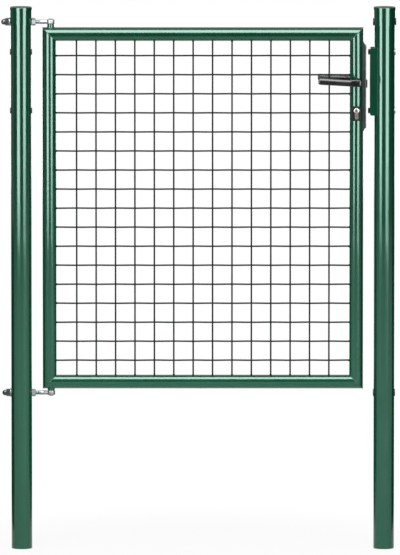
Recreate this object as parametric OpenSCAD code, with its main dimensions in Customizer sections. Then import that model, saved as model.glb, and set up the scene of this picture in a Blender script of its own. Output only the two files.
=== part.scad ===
// Wave mesh garden gate.
// One leaf of round tube, filled with crimped wire, hangs on two eye bolts
// between two capped round posts. A lever handle on each side draws back the
// latch of a lock set in the leaf's closing edge.
//
// Millimetres. The origin is at the foot of the hinge post, on its axis.
// +X runs to the latch post, +Y to the back and +Z up.

/* [Posts] */
// Height from the foot of the posts to the top of their caps
gate_h = 1500; // [1350:10:2000]
// Distance between the axes of the two posts
post_spacing = 1000; // [800:1:1300]
// Outer diameter of a post
post_d = 57; // [52:1:63]
// Wall thickness of a post
post_wall = 2; // [1.5:0.5:3]

/* [Post caps] */
// Thickness of a cap over the end of its post
cap_crown = 3; // [2:0.5:5]
// Wall thickness of the cap's skirt
cap_wall = 1.3; // [1:0.1:2]
// Length of the skirt below the end of the post
cap_skirt_h = 47; // [45:1:52]
// Height of the raised band round the top of the cap
cap_band_h = 8; // [6:1:14]
// How far the band stands out from the skirt
cap_band_out = 1.2; // [0.6:0.2:2]
// Rounding of the cap's upper edge
cap_edge_r = 2; // [1:0.5:2.5]

/* [Leaf frame] */
// Height of the leaf
leaf_h = 1000; // [800:10:1050]
// Distance from the top of the gate down to the top of the leaf
leaf_drop = 56; // [54:1:58]
// Outer diameter of the frame tube
tube_d = 38; // [37:0.5:42]
// Wall thickness of the frame tube
tube_wall = 1.5; // [1:0.1:1.6]
// Gap between the hinge post and the leaf
hinge_gap = 30; // [26:1:40]
// Gap between the leaf and the latch post
latch_gap = 29.5; // [29.5:0.5:36]

/* [Wave mesh] */
// Thickness of a wire with its coat
wire_d = 4.5; // [3:0.5:5]
// Distance between the upright wires
wire_pitch_x = 53.5; // [45:0.5:70]
// Distance between the level wires
wire_pitch_z = 52.7; // [45:0.1:70]
// Least distance from the frame to the first wire
wire_margin = 36; // [30:1:45]
// How far two wires press into each other where they are welded
wire_weld = 0.3; // [0.2:0.1:0.6]

/* [Hinges] */
// Diameter of the eye bolt's rod
rod_d = 12; // [10:1:12]
// Outer diameter of the eye
eye_d = 22; // [20:1:26]
// Height of the eye, a little more than the rod's diameter
eye_h = 13; // [12.5:0.5:14]
// Diameter of the hinge pin
pin_d = 12; // [10:0.5:12]
// How far the hinge pin stands out past the eye
pin_past_eye = 2; // [1:0.5:4]
// Distance from the leaf's edge to the hinge axis
hinge_inset = 23; // [20:1:30]
// Diameter of the collar under the hinge pin
collar_d = 19; // [17:1:21]
// Height of the collar on top of the leaf
collar_top_h = 8.3; // [7.3:0.2:9.3]
// Height of the collar under the leaf
collar_bottom_h = 4.8; // [4.8:0.2:8]
// Width across the flats of the hinge nuts
hinge_nut_af = 18; // [17:1:19]
// Height of the nut on the leaf's side of the post
hinge_nut_h = 10; // [8:1:12]
// Height of the closed nut on the far side of the post, with its dome
cap_nut_h = 22; // [20:1:24]
// Diameter of the washer under the closed nut
washer_d = 24; // [22:1:28]
// Thickness of that washer
washer_t = 2.5; // [2:0.5:3]

/* [Lock] */
// Distance from the top of the leaf down to the handle's spindle
spindle_drop = 149; // [145:1:200]
// Distance from the spindle down to the middle of the lock cylinder
cylinder_drop = 80; // [74:1:84]
// Distance from the spindle down to the middle of the lock
lock_centre_drop = 14; // [8:1:20]
// Height of the lock, along the stile
lock_h = 250; // [240:2:270]
// Thickness of the lock case, across the gate
case_w = 20; // [18:0.5:20]
// Depth of the lock case behind the stile's axis
case_back = 13.5; // [12:0.5:13.5]
// How far the face plate stands out of the leaf's edge
lock_proud = 7.5; // [6:0.5:7.5]
// Length of the slope at each end of the lock
lock_slope = 10; // [6:1:14]
// Thickness of the face plate
plate_t = 3; // [2:0.5:3.5]
// Width of the face plate, across the gate
plate_w = 24; // [20:1:26]
// Height of the latch
latch_h = 22; // [16:1:26]
// Thickness of the latch, across the gate
latch_w = 12; // [10:0.5:13]
// How far the latch stands out of the face plate
latch_out = 3.5; // [3:0.25:4]
// Distance from the spindle down to the middle of the latch
latch_drop = 7; // [0:1:10]
// Height of the dead bolt
bolt_h = 30; // [20:1:34]
// Distance from the spindle down to the middle of the dead bolt
bolt_drop = 44; // [42:1:48]

/* [Handle] */
// Side of the square spindle
spindle_side = 8; // [7:0.5:9]
// Diameter of the neck of a lever
neck_d = 15; // [14:0.5:16]
// Distance from the middle of the leaf to the middle of a lever's grip
grip_out = 75; // [60:1:85]
// Length of the grip from the spindle to its free end
grip_reach = 106; // [90:1:130]
// Length of the grip past the spindle, on the closing side
grip_past = 13; // [10:1:16]
// Height of the grip
grip_h = 19.5; // [16.5:0.5:22]
// Thickness of the grip, across the gate
grip_t = 13; // [11:0.5:14]
// How far the levers rise to their free ends, in degrees
grip_rise = 1.5; // [0:0.5:4]
// Rounding of the grip's ends
grip_end_r = 5; // [3:0.5:6]
// Diameter of the rose round a lever's neck
rose_d = 22; // [20:1:26]
// Height of the rose over the stile
rose_t = 2.5; // [2:0.5:4]

/* [Cylinder] */
// Diameter of the round part of the lock cylinder
cylinder_d = 17; // [16:0.5:18]
// Width of the cylinder's lower lobe
lobe_w = 10; // [9:0.5:11]
// Height of the lock cylinder
cylinder_h = 33; // [32:0.5:34]
// How far the lock cylinder stands out of its escutcheon
cylinder_proud = 2; // [1:0.5:3]
// Width of an escutcheon
escutcheon_w = 26; // [24:1:30]
// Height of an escutcheon
escutcheon_h = 40; // [38:1:44]
// Height of an escutcheon over the stile
escutcheon_t = 2.5; // [2:0.5:4]
// Rounding of the escutcheon's corners
escutcheon_r = 6; // [3:1:9]

/* [Strike] */
// Height of the strike
strike_h = 187; // [182:1:220]
// Width of the strike, across the gate
strike_w = 44; // [40:1:48]
// Sheet thickness of the strike
strike_t = 2.5; // [2:0.5:3]
// How far the strike stands out of the latch post
strike_depth = 12; // [11:0.5:12]
// Rounding of the strike's corners
strike_r = 6; // [4:1:8]
// Room round the latch and the dead bolt in the strike's windows
window_gap = 2.5; // [1.5:0.5:3]
// Distance between the strike's two bolts
strike_bolt_pitch = 162; // [156:1:168]
// Diameter of the strike's bolts
strike_bolt_d = 8; // [6:1:8]
// Diameter of their round heads
strike_head_d = 18; // [16:1:20]
// Height of those heads
strike_head_h = 2; // [1.5:0.5:3]
// Width across the flats of their nuts
strike_nut_af = 13; // [12:1:14]
// Height of those nuts
strike_nut_h = 4.8; // [4:0.2:4.8]

/* [Hole plugs] */
// How far the head of a plug reaches past its hole all round
plug_rim = 4; // [3:0.5:5]
// Height of a plug's head
plug_head_h = 2; // [1.5:0.5:3]
// Length of a plug's stem inside the post
plug_stem = 4; // [3:0.5:6]

/* [Fits] */
// Clearance where a piece is seated on a round one or in a hole
seat_gap = 0.2; // [0.1:0.05:0.3]
// Running clearance of the hinge pin in its eye
pin_gap = 0.1; // [0.05:0.01:0.1]
// Clearance round the latch and round the neck of a lever
slide_gap = 0.4; // [0.3:0.1:0.5]

/* [Hidden] */
$fn = 96;
far = 400;          // longer than any cut here needs to be
paint = "#0E4A38";
zinc = "#C9CCCE";
black = "#161718";
brass = "#B9A368";

post_r = post_d / 2;
post_h = gate_h - cap_crown;
cap_bore_r = post_r + seat_gap;
skirt_r = cap_bore_r + cap_wall;
band_r = skirt_r + cap_band_out;

leaf_top = gate_h - leaf_drop;
leaf_bottom = leaf_top - leaf_h;
leaf_left = post_r + hinge_gap;
leaf_right = post_spacing - post_r - latch_gap;
leaf_w = leaf_right - leaf_left;
tube_r = tube_d / 2;
stile_x = leaf_right - tube_r;          // axis of the closing stile

hinge_x = leaf_left + hinge_inset;
eye_top_z = leaf_top + collar_top_h + seat_gap + eye_h / 2;
eye_bottom_z = leaf_bottom - collar_bottom_h - seat_gap - eye_h / 2;
rod_hole_d = rod_d + 2 * seat_gap;

spindle_z = leaf_top - spindle_drop;
cylinder_z = spindle_z - cylinder_drop;
lock_z = spindle_z - lock_centre_drop;
plate_x = leaf_right + lock_proud;      // outer face of the face plate
case_x = plate_x - plate_t;             // back of the face plate
plate_h = lock_h - 2 * lock_slope;
latch_z = spindle_z - latch_drop;
bolt_z = spindle_z - bolt_drop;
latch_tail = 14;                        // from the spindle's axis to the latch's inner end

strike_x = post_spacing - post_r - strike_depth;
strike_hole_d = strike_bolt_d + 2 * seat_gap;
strike_top_z = spindle_z + strike_bolt_pitch / 2;
strike_bottom_z = spindle_z - strike_bolt_pitch / 2;

wire_sides = 6;
wire_wave = (wire_d - wire_weld) / 2;   // how far a wire swings to each side

// ---- shared shapes ----

// Turns a shape that stands along +Z so that it lies along +X.
module along_x() {
    rotate([0, 90, 0]) children();
}

// Turns a shape drawn in the plane of the gate so that its thickness runs along Y.
module in_gate_plane() {
    rotate([90, 0, 0]) children();
}

// A rectangle with true round corners.
module round_rect(w, h, r) {
    union() {
        square([w - 2 * r, h], center = true);
        square([w, h - 2 * r], center = true);
        for (x = [-1, 1], y = [-1, 1])
            translate([x * (w / 2 - r), y * (h / 2 - r)]) circle(r);
    }
}

// A hexagonal bar along +Z with its corners turned off at the far end.
module hex_nut(af, h) {
    corner_r = af / 2 / cos(30);
    intersection() {
        cylinder(r = corner_r, h = h, $fn = 6);
        rotate_extrude()
            polygon([[0, 0], [corner_r, 0], [corner_r, h - (corner_r - af / 2) * 0.6], [af / 2, h], [0, h]]);
    }
}

// Everything inside a post's outer surface, or inside any upright round of that radius.
module post_round(x, r) {
    translate([x, 0, -far]) cylinder(r = r, h = gate_h + 2 * far);
}

// ---- posts ----

module post(x) {
    color(paint)
        translate([x, 0, 0])
            difference() {
                cylinder(r = post_r, h = post_h);
                translate([0, 0, -1]) cylinder(r = post_r - post_wall, h = post_h + 2);
                for (z = [eye_top_z, eye_bottom_z])
                    translate([-far / 2, 0, z]) along_x() cylinder(d = rod_hole_d, h = far);
                for (z = [strike_top_z, strike_bottom_z])
                    translate([-far / 2, 0, z]) along_x() cylinder(d = strike_hole_d, h = far);
            }
}

module post_hinge() { post(0); }
module post_latch() { post(post_spacing); }

// A push-on cap. Its skirt is notched on both sides for the upper hinge bolt.
module post_cap(x) {
    color(paint)
        translate([x, 0, post_h])
            difference() {
                rotate_extrude() {
                    square([band_r - cap_edge_r, cap_crown]);
                    translate([0, cap_crown - cap_band_h])
                        square([band_r, cap_band_h - cap_edge_r]);
                    intersection() {
                        translate([band_r - cap_edge_r, cap_crown - cap_edge_r]) circle(cap_edge_r);
                        square([band_r, cap_crown]);
                    }
                    translate([0, -cap_skirt_h]) square([skirt_r, cap_skirt_h]);
                }
                translate([0, 0, -cap_skirt_h - 1]) cylinder(r = cap_bore_r, h = cap_skirt_h + 1);
                translate([-far / 2, 0, eye_top_z - post_h]) along_x() cylinder(d = rod_hole_d, h = far);
                translate([-far / 2, -rod_hole_d / 2, -cap_skirt_h - 1])
                    cube([far, rod_hole_d, eye_top_z - post_h + cap_skirt_h + 1]);
            }
}

module cap_hinge() { post_cap(0); }
module cap_latch() { post_cap(post_spacing); }

// A plug in an unused hole: a rounded head seated on a round surface, and a stem through the wall.
module plug(hole_d, surface_r) {
    head_r = hole_d / 2 + plug_rim;
    difference() {
        along_x()
            rotate_extrude() {
                square([head_r - plug_head_h / 2, surface_r + plug_head_h]);
                square([head_r, surface_r + plug_head_h / 2]);
                translate([head_r - plug_head_h / 2, surface_r + plug_head_h / 2]) circle(plug_head_h / 2);
            }
        translate([0, 0, -far / 2]) cylinder(r = surface_r + seat_gap, h = far);
    }
    stem_r = hole_d / 2 - seat_gap;
    stem_start = post_r - post_wall - plug_stem;
    translate([stem_start, 0, 0])
        along_x() cylinder(r = stem_r, h = surface_r + plug_head_h / 2 - stem_start);
}

module plugs(x, holes) {
    color(black)
        for (hole = holes, turn = [0, 180])
            translate([x, 0, hole[0]]) rotate([0, 0, turn]) plug(hole[1], hole[2]);
}

module plugs_hinge_post() {
    plugs(0, [[strike_top_z, strike_hole_d, post_r], [strike_bottom_z, strike_hole_d, post_r]]);
}

module plugs_latch_post() {
    plugs(post_spacing, [[eye_top_z, rod_hole_d, skirt_r], [eye_bottom_z, rod_hole_d, post_r]]);
}

// ---- hinges ----

// A rod through the hinge post that ends in an eye over or under the leaf.
module eye_bolt(z, surface_r) {
    rod_start = -(surface_r + seat_gap + washer_t + cap_nut_h * 0.65);
    color(zinc)
        translate([0, 0, z])
            difference() {
                union() {
                    translate([rod_start, 0, 0]) along_x() cylinder(d = rod_d, h = hinge_x - rod_start);
                    translate([hinge_x, 0, -eye_h / 2]) cylinder(d = eye_d, h = eye_h);
                }
                translate([hinge_x, 0, -far / 2]) cylinder(r = pin_d / 2 + pin_gap, h = far);
            }
}

module eye_bolt_top() { eye_bolt(eye_top_z, skirt_r); }
module eye_bolt_bottom() { eye_bolt(eye_bottom_z, post_r); }

// A closed nut: a hexagon with a dome on it, drilled from the post's side only.
module cap_nut(z, surface_r) {
    hex_h = cap_nut_h * 0.5;
    dome_r = hinge_nut_af / 2 - 1;
    color(zinc)
        translate([-(surface_r + seat_gap + washer_t), 0, z])
            rotate([0, -90, 0])
                difference() {
                    union() {
                        hex_nut(hinge_nut_af, hex_h);
                        cylinder(r = dome_r, h = cap_nut_h - dome_r);
                        translate([0, 0, cap_nut_h - dome_r]) sphere(dome_r);
                    }
                    translate([0, 0, -1]) cylinder(r = rod_d / 2 + seat_gap, h = cap_nut_h * 0.65 + 1 + seat_gap);
                }
}

module cap_nut_top() { cap_nut(eye_top_z, skirt_r); }
module cap_nut_bottom() { cap_nut(eye_bottom_z, post_r); }

module washer(z, surface_r) {
    color(zinc)
        translate([-(surface_r + seat_gap), 0, z])
            rotate([0, -90, 0])
                difference() {
                    cylinder(d = washer_d, h = washer_t);
                    translate([0, 0, -1]) cylinder(d = rod_hole_d, h = washer_t + 2);
                }
}

module washer_top() { washer(eye_top_z, skirt_r); }
module washer_bottom() { washer(eye_bottom_z, post_r); }

// The nut that locks the eye bolt on the leaf's side of the post.
module hinge_nut(z, surface_r) {
    color(zinc)
        translate([surface_r + seat_gap, 0, z])
            along_x()
                difference() {
                    hex_nut(hinge_nut_af, hinge_nut_h);
                    translate([0, 0, -1]) cylinder(r = rod_d / 2 + seat_gap, h = hinge_nut_h + 2);
                }
}

module hinge_nut_top() { hinge_nut(eye_top_z, skirt_r); }
module hinge_nut_bottom() { hinge_nut(eye_bottom_z, post_r); }

// A collar saddled on the rail, and the pin that stands on it in the eye.
// up is 1 for the top of the leaf and -1 for its underside.
module hinge_pin(up, rail_z, collar_h) {
    face = tube_r + collar_h;
    tip = face + seat_gap + eye_h + pin_past_eye;
    chamfer = 1;
    color(paint)
        translate([hinge_x, 0, rail_z])
            mirror([0, 0, up > 0 ? 0 : 1])
                difference() {
                    rotate_extrude()
                        polygon([
                            [0, tube_r / 2], [collar_d / 2, tube_r / 2], [collar_d / 2, face],
                            [pin_d / 2, face], [pin_d / 2, tip - chamfer], [pin_d / 2 - chamfer, tip], [0, tip]
                        ]);
                    translate([-far / 2, 0, 0]) along_x() cylinder(r = tube_r + seat_gap, h = far);
                }
}

module hinge_pin_top() { hinge_pin(1, leaf_top - tube_r, collar_top_h); }
module hinge_pin_bottom() { hinge_pin(-1, leaf_bottom + tube_r, collar_bottom_h); }

// ---- leaf frame ----

// A tube along +Z, cut at 45 degrees at both ends towards -X, so that four make a frame.
module mitred_tube(length) {
    difference() {
        cylinder(r = tube_r, h = length);
        translate([0, 0, -1]) cylinder(r = tube_r - tube_wall, h = length + 2);
        translate([tube_r, 0, 0]) rotate([0, 45, 0])
            translate([-2 * tube_d, -tube_d, -2 * tube_d]) cube([4 * tube_d, 2 * tube_d, 2 * tube_d]);
        translate([tube_r, 0, length]) rotate([0, -45, 0])
            translate([-2 * tube_d, -tube_d, 0]) cube([4 * tube_d, 2 * tube_d, 2 * tube_d]);
    }
}

module stile_hinge() {
    color(paint)
        translate([leaf_left + tube_r, 0, leaf_bottom])
            rotate([0, 0, 180]) mitred_tube(leaf_h);
}

// The closing stile is slotted for the lock and bored for the spindle and the lock cylinder.
module stile_lock() {
    color(paint)
        difference() {
            translate([stile_x, 0, leaf_bottom]) mitred_tube(leaf_h);
            lock_outline(case_w + 2 * seat_gap, lock_h + 2 * seat_gap, seat_gap);
            translate([stile_x, far / 2, spindle_z])
                in_gate_plane() cylinder(r = neck_d / 2 + slide_gap, h = far);
            cylinder_bar(seat_gap, far);
        }
}

module rail_top() {
    color(paint)
        translate([leaf_left, 0, leaf_top - tube_r])
            rotate([0, 90, 0]) rotate([0, 0, 180]) mitred_tube(leaf_w);
}

module rail_bottom() {
    color(paint)
        translate([leaf_left, 0, leaf_bottom + tube_r])
            rotate([0, 90, 0]) mitred_tube(leaf_w);
}

// ---- wave mesh ----

// How many wires fit between two frame tubes, keeping the margin on both sides.
function wire_count(inner, pitch) = floor((inner - 2 * wire_margin) / pitch) + 1;

// Stations [along, across] of one crimped wire: its two ends lie in the middle plane,
// and at each crossing it stands to one side, in turn. side is 1 or -1 at the first crossing.
function wave(inner, count, pitch, side) = [
    [-inner / 2 + seat_gap, 0],
    for (i = [0 : count - 1])
        [(i - (count - 1) / 2) * pitch, side * (i % 2 == 0 ? 1 : -1) * wire_wave],
    [inner / 2 - seat_gap, 0]
];

// One wire along +Z that swings along Y, swept through its stations as a hexagon
// whose flats face front and back.
module crimped_wire(stations) {
    last = len(stations) - 1;
    corner_r = wire_d / 2 / cos(180 / wire_sides);
    points = [
        for (s = stations, k = [0 : wire_sides - 1])
            let (a = 360 * k / wire_sides)
                [corner_r * cos(a), s[1] + corner_r * sin(a), s[0]]
    ];
    sides = [
        for (i = [0 : last - 1], k = [0 : wire_sides - 1])
            let (next = (k + 1) % wire_sides, here = i * wire_sides, above = here + wire_sides)
                [here + k, above + k, above + next, here + next]
    ];
    bottom = [for (k = [0 : wire_sides - 1]) k];
    top = [for (k = [wire_sides - 1 : -1 : 0]) last * wire_sides + k];
    polyhedron(points, concat([bottom], sides, [top]));
}

// Upright and level wires, woven: each passes over one and under the next,
// and all are welded into one sheet where they cross.
module wire_mesh() {
    inner_w = leaf_w - 2 * tube_d;
    inner_h = leaf_h - 2 * tube_d;
    columns = wire_count(inner_w, wire_pitch_x);
    rows = wire_count(inner_h, wire_pitch_z);
    color(paint)
        translate([(leaf_left + leaf_right) / 2, 0, (leaf_top + leaf_bottom) / 2])
            union() {
                for (i = [0 : columns - 1])
                    translate([(i - (columns - 1) / 2) * wire_pitch_x, 0, 0])
                        crimped_wire(wave(inner_h, rows, wire_pitch_z, i % 2 == 0 ? 1 : -1));
                for (j = [0 : rows - 1])
                    translate([0, 0, (j - (rows - 1) / 2) * wire_pitch_z])
                        along_x()
                            crimped_wire(wave(inner_w, columns, wire_pitch_x, j % 2 == 0 ? -1 : 1));
            }
}

// ---- lock ----

// The lock's outline in the plane of the gate, with sloping ends outside the stile, as a solid
// of the given thickness. grow adds to its back.
module lock_outline(thick, h, grow) {
    half = h / 2;
    translate([0, thick / 2, lock_z])
        in_gate_plane()
            linear_extrude(thick)
                polygon([
                    [stile_x - case_back - grow, -half], [leaf_right - 1, -half],
                    [case_x, -plate_h / 2], [case_x, plate_h / 2],
                    [leaf_right - 1, half], [stile_x - case_back - grow, half]
                ]);
}

// The profile of the lock cylinder, round above and a narrow lobe below, grown all round.
module cylinder_profile(grow) {
    circle(cylinder_d / 2 + grow);
    lobe_drop = cylinder_h - cylinder_d / 2 - lobe_w / 2;
    translate([-lobe_w / 2 - grow, -lobe_drop]) square([lobe_w + 2 * grow, lobe_drop]);
    translate([0, -lobe_drop]) circle(lobe_w / 2 + grow);
}

// A bar of that profile through the leaf, as long as given, middle in the leaf's plane.
module cylinder_bar(grow, length) {
    translate([stile_x, length / 2, cylinder_z])
        in_gate_plane() linear_extrude(length) cylinder_profile(grow);
}

// A block that fills the case from its face inwards, at height z.
module case_pocket(w, h, z, gap, inner_x) {
    translate([inner_x - gap, -w / 2 - gap, z - h / 2 - gap])
        cube([far, w + 2 * gap, h + 2 * gap]);
}

module lock_case() {
    color(zinc)
        difference() {
            lock_outline(case_w, lock_h, 0);
            translate([stile_x, far / 2, spindle_z])
                in_gate_plane() cylinder(d = spindle_side * sqrt(2) + 2 * slide_gap, h = far);
            cylinder_bar(seat_gap, far);
            case_pocket(latch_w, latch_h, latch_z, slide_gap, stile_x + latch_tail - latch_out);
            case_pocket(latch_w, bolt_h, bolt_z, seat_gap, stile_x);
        }
}

// The steel strip that closes the lock, with windows for the latch and the dead bolt.
module face_plate() {
    color(zinc)
        difference() {
            translate([case_x, 0, lock_z])
                along_x() linear_extrude(plate_t) round_rect(plate_h, plate_w, 2);
            case_pocket(latch_w, latch_h, latch_z, slide_gap, stile_x);
            case_pocket(latch_w, bolt_h, bolt_z, seat_gap, stile_x);
        }
}

// The spring latch, bevelled on the side that meets the strike first.
module latch_bolt() {
    inner = stile_x + latch_tail;
    tip = plate_x + latch_out;
    color(zinc)
        translate([0, 0, latch_z - latch_h / 2])
            linear_extrude(latch_h)
                polygon([
                    [inner, -latch_w / 2], [plate_x - 1, -latch_w / 2], [tip, latch_w / 6],
                    [tip, latch_w / 2], [inner, latch_w / 2]
                ]);
}

// The dead bolt, drawn back level with the face plate.
module dead_bolt() {
    color(zinc)
        translate([stile_x, -latch_w / 2, bolt_z - bolt_h / 2])
            cube([plate_x - stile_x, latch_w, bolt_h]);
}

// The lock cylinder runs through the leaf and shows a keyway at each end.
module lock_cylinder() {
    length = 2 * (tube_r + escutcheon_t + cylinder_proud);
    keyway = [1.6, 3, 9];
    color(brass)
        difference() {
            cylinder_bar(0, length);
            for (side = [-1, 1])
                translate([stile_x - keyway[0] / 2, side * length / 2 - keyway[1], cylinder_z - keyway[2] / 2])
                    cube([keyway[0], 2 * keyway[1], keyway[2]]);
        }
}

// A plate round the cylinder: flat in front and saddled on the stile behind.
module escutcheon(side) {
    face = tube_r + escutcheon_t;
    middle = cylinder_z - (cylinder_h - cylinder_d) / 2;
    color(black)
        difference() {
            translate([stile_x, side > 0 ? face : 0, middle])
                in_gate_plane() linear_extrude(face) round_rect(escutcheon_w, escutcheon_h, escutcheon_r);
            post_round(stile_x, tube_r + seat_gap);
            cylinder_bar(seat_gap, far);
        }
}

module escutcheon_front() { escutcheon(-1); }
module escutcheon_back() { escutcheon(1); }

// A ring round the neck of a lever, saddled on the stile.
module rose(side) {
    face = tube_r + rose_t;
    color(black)
        difference() {
            translate([stile_x, side > 0 ? face : 0, spindle_z])
                in_gate_plane() cylinder(d = rose_d, h = face);
            post_round(stile_x, tube_r + seat_gap);
            translate([stile_x, far / 2, spindle_z])
                in_gate_plane() cylinder(r = neck_d / 2 + slide_gap, h = far);
        }
}

module rose_front() { rose(-1); }
module rose_back() { rose(1); }

// ---- handle ----

// A lever: a round neck from the stile, and an oval grip across its end.
// It is drawn for the front, with the spindle's axis at the origin.
module lever() {
    length = grip_reach + grip_past;
    middle = (grip_past - grip_reach) / 2;
    oval = (grip_h - grip_t) / 2;
    neck_start = case_w / 2 + 2;
    difference() {
        union() {
            translate([0, -neck_start, 0])
                in_gate_plane() cylinder(d = neck_d, h = grip_out - neck_start);
            translate([middle, -grip_out, 0])
                intersection() {
                    translate([-length, 0, 0])
                        along_x()
                            linear_extrude(2 * length)
                                union() {
                                    square([2 * oval, grip_t], center = true);
                                    for (s = [-1, 1]) translate([s * oval, 0]) circle(d = grip_t);
                                }
                    translate([0, grip_t, 0])
                        in_gate_plane() linear_extrude(2 * grip_t) round_rect(length, grip_h + 2, grip_end_r + 1);
                    translate([0, 0, -grip_h])
                        linear_extrude(2 * grip_h) round_rect(length, grip_t + 2, grip_end_r + 1);
                }
        }
        spindle_bar(spindle_side + 2 * seat_gap, 2 * grip_out);
    }
}

// The square bar on the spindle's axis, at the origin.
module spindle_bar(side, length) {
    translate([-side / 2, -length / 2, -side / 2]) cube([side, length, side]);
}

module lever_front() {
    color(black) translate([stile_x, 0, spindle_z]) rotate([0, grip_rise, 0]) lever();
}

module lever_back() {
    color(black) translate([stile_x, 0, spindle_z]) rotate([0, grip_rise, 0]) mirror([0, 1, 0]) lever();
}

module spindle() {
    color(zinc)
        translate([stile_x, 0, spindle_z])
            rotate([0, grip_rise, 0]) spindle_bar(spindle_side, 2 * (grip_out - grip_t));
}

// ---- strike ----

// A folded channel on the latch post, with windows for the latch and the dead bolt.
module strike_channel() {
    back = post_spacing - strike_x;
    window_w = latch_w + 2 * window_gap;
    color(paint)
        difference() {
            translate([strike_x, strike_w / 2, spindle_z])
                in_gate_plane()
                    linear_extrude(strike_w)
                        intersection() {
                            translate([back, 0]) round_rect(2 * back, strike_h, strike_r);
                            translate([0, -strike_h / 2]) square([back, strike_h]);
                        }
            translate([strike_x + strike_t, -strike_w / 2 + strike_t, -far])
                cube([far, strike_w - 2 * strike_t, gate_h + 2 * far]);
            post_round(post_spacing, post_r + seat_gap);
            strike_window(window_w, latch_h + 2 * window_gap, latch_z);
            strike_window(window_w, bolt_h + 2 * window_gap, bolt_z);
            for (z = [strike_top_z, strike_bottom_z])
                translate([strike_x - 1, 0, z]) along_x() cylinder(d = strike_hole_d, h = 10);
        }
}

module strike_window(w, h, z) {
    translate([strike_x - 1, -w / 2, z - h / 2]) cube([strike_t + 2, w, h]);
}

// A bolt through the latch post, with a low round head saddled on its far side.
module strike_bolt(z) {
    head_x = post_r + strike_head_h;
    start = -(post_r + strike_depth + strike_nut_h);
    color(zinc)
        translate([post_spacing, 0, z]) {
            difference() {
                along_x()
                    rotate_extrude() {
                        square([strike_head_d / 2 - strike_head_h / 2, head_x]);
                        square([strike_head_d / 2, head_x - strike_head_h / 2]);
                        translate([strike_head_d / 2 - strike_head_h / 2, head_x - strike_head_h / 2])
                            circle(strike_head_h / 2);
                    }
                translate([0, 0, -far / 2]) cylinder(r = post_r + seat_gap, h = far);
            }
            translate([start, 0, 0]) along_x() cylinder(d = strike_bolt_d, h = post_r + seat_gap + 1 - start);
        }
}

module strike_bolt_top() { strike_bolt(strike_top_z); }
module strike_bolt_bottom() { strike_bolt(strike_bottom_z); }

module strike_nut(z) {
    color(black)
        translate([strike_x, 0, z])
            rotate([0, -90, 0])
                difference() {
                    hex_nut(strike_nut_af, strike_nut_h);
                    translate([0, 0, -1]) cylinder(r = strike_bolt_d / 2 + seat_gap, h = strike_nut_h + 2);
                }
}

module strike_nut_top() { strike_nut(strike_top_z); }
module strike_nut_bottom() { strike_nut(strike_bottom_z); }

// ---- what is drawn ----

post_hinge();
post_latch();
cap_hinge();
cap_latch();
plugs_hinge_post();
plugs_latch_post();
eye_bolt_top();
eye_bolt_bottom();
cap_nut_top();
cap_nut_bottom();
washer_top();
washer_bottom();
hinge_nut_top();
hinge_nut_bottom();
hinge_pin_top();
hinge_pin_bottom();
stile_hinge();
stile_lock();
rail_top();
rail_bottom();
wire_mesh();
lock_case();
face_plate();
latch_bolt();
dead_bolt();
lock_cylinder();
escutcheon_front();
escutcheon_back();
rose_front();
rose_back();
lever_front();
lever_back();
spindle();
strike_channel();
strike_bolt_top();
strike_bolt_bottom();
strike_nut_top();
strike_nut_bottom();
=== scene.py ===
"""A garden gate: one leaf of green coated tube filled with wave mesh, hung on eye bolts
between two capped posts, with a lock, a lever on each side and a strike.

Metres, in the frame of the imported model: the origin is at the foot of the hinge post,
+X runs to the latch post, +Y to the back and +Z up."""

import math

import bmesh
import bpy
from mathutils import Matrix, Vector


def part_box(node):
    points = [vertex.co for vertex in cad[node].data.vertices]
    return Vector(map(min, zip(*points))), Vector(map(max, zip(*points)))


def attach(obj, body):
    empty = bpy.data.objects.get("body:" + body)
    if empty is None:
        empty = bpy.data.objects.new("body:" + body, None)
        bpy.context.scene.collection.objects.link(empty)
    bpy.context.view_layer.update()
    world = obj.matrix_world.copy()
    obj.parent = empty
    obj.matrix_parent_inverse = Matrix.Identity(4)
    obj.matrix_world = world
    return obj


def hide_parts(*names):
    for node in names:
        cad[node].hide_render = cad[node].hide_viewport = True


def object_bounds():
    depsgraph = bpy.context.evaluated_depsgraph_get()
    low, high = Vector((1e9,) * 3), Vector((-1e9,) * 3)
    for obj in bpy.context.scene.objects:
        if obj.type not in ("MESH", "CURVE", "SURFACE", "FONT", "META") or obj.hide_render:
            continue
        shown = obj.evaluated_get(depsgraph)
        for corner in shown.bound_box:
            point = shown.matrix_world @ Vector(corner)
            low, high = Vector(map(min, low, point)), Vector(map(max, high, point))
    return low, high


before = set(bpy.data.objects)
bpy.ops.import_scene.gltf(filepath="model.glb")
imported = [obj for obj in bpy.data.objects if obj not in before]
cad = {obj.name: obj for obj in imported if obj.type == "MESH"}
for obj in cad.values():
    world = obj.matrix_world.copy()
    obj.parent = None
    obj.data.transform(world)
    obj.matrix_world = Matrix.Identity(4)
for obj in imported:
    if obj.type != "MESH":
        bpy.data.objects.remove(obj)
cad_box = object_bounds()
scene = bpy.context.scene
low, high = cad_box

# ---- Studio ----
# A white floor in a white room, as for a catalogue. Soft lamps give the plain level of light.
# Tall strip lamps that only a shiny surface shows draw the pair of bright stripes on every
# round tube, and dark drapes keep the rest of the tubes deep.


def add(tree, kind, inputs=None, **settings):
    """Adds one node to a tree. An input is a value, or the socket that feeds it."""
    made = tree.nodes.new(kind)
    for key, value in settings.items():
        setattr(made, key, value)
    for key, value in (inputs or {}).items():
        if isinstance(value, bpy.types.NodeSocket):
            tree.links.new(value, made.inputs[key])
        else:
            made.inputs[key].default_value = value
    return made


def new_material(name):
    """A material with nothing in it but its output."""
    material = bpy.data.materials.new(name)
    material.use_nodes = True
    tree = material.node_tree
    tree.nodes.clear()
    return material, tree, add(tree, "ShaderNodeOutputMaterial")


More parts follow.
